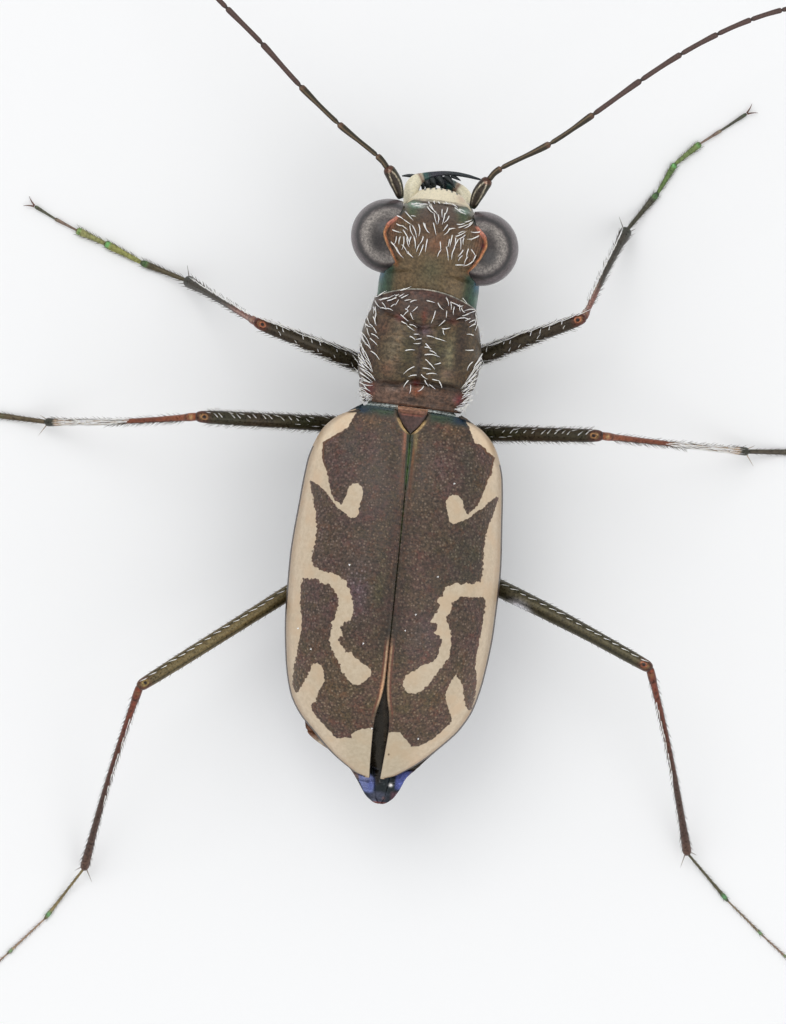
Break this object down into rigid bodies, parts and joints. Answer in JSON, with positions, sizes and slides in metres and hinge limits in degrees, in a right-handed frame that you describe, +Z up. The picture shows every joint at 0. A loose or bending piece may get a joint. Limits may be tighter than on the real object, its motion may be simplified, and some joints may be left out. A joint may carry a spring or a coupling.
{
  "type": "tiger beetle model",
  "caption": "Life-size still model of a long-legged tiger beetle, standing with legs spread and feelers raised, with cream-marked grey-brown wing cases.",
  "frame": {"origin": "middle of the bounding box in plan, on the floor that the feet rest on", "axes": "+Y forward, towards the head; +X towards the beetle's right; +Z up"},
  "size_m": [0.0204, 0.0232, 0.0041],
  "materials": {
    "head": "olive bronze cuticle, fine striae, copper ridges beside the eyes, white bristles",
    "eye": "grey-brown compound eye, fine facets, darker rings",
    "labrum": "cream, satin",
    "mandible": "cream base, near-black toothed tip",
    "palp": "cream, darker last joint",
    "antenna_base": "metallic bronze green",
    "antenna": "bronze near the head, matt purple-brown beyond",
    "pronotum": "bronze brown, finely wrinkled, white bristles at the sides",
    "scutellum": "coppery, satin",
    "elytron": "grey-brown, finely punctured, cream margin and bands",
    "breast": "dark metallic green and copper, white bristles",
    "abdomen": "dark metallic blue, smooth",
    "coxa": "dark metallic, bristled",
    "femur": "dark olive, rows of white bristles",
    "tibia": "rust brown, darker towards the foot",
    "tarsus": "metallic green and bronze"
  },
  "bodies": {
    "root": {"head": "head", "eye_left": "eye", "eye_right": "eye", "labrum": "labrum", "mandible_left": "mandible", "mandible_right": "mandible", "palp_maxillary_left": "palp", "palp_maxillary_right": "palp", "palp_labial_left": "palp", "palp_labial_right": "palp", "antenna_left_scape": "antenna_base", "antenna_right_scape": "antenna_base", "antenna_left_flagellum": "antenna", "antenna_right_flagellum": "antenna", "prothorax": "pronotum", "scutellum": "scutellum", "elytron_left": "elytron", "elytron_right": "elytron", "pterothorax": "breast", "abdomen": "abdomen", "leg_front_left_coxa": "coxa", "leg_front_left_femur": "femur", "leg_front_left_tibia": "tibia", "leg_front_left_tarsus": "tarsus", "leg_front_right_coxa": "coxa", "leg_front_right_femur": "femur", "leg_front_right_tibia": "tibia", "leg_front_right_tarsus": "tarsus", "leg_middle_left_coxa": "coxa", "leg_middle_left_femur": "femur", "leg_middle_left_tibia": "tibia", "leg_middle_left_tarsus": "tarsus", "leg_middle_right_coxa": "coxa", "leg_middle_right_femur": "femur", "leg_middle_right_tibia": "tibia", "leg_middle_right_tarsus": "tarsus", "leg_hind_left_coxa": "coxa", "leg_hind_left_femur": "femur", "leg_hind_left_tibia": "tibia", "leg_hind_left_tarsus": "tarsus", "leg_hind_right_coxa": "coxa", "leg_hind_right_femur": "femur", "leg_hind_right_tibia": "tibia", "leg_hind_right_tarsus": "tarsus"}
  },
  "joints": []
}
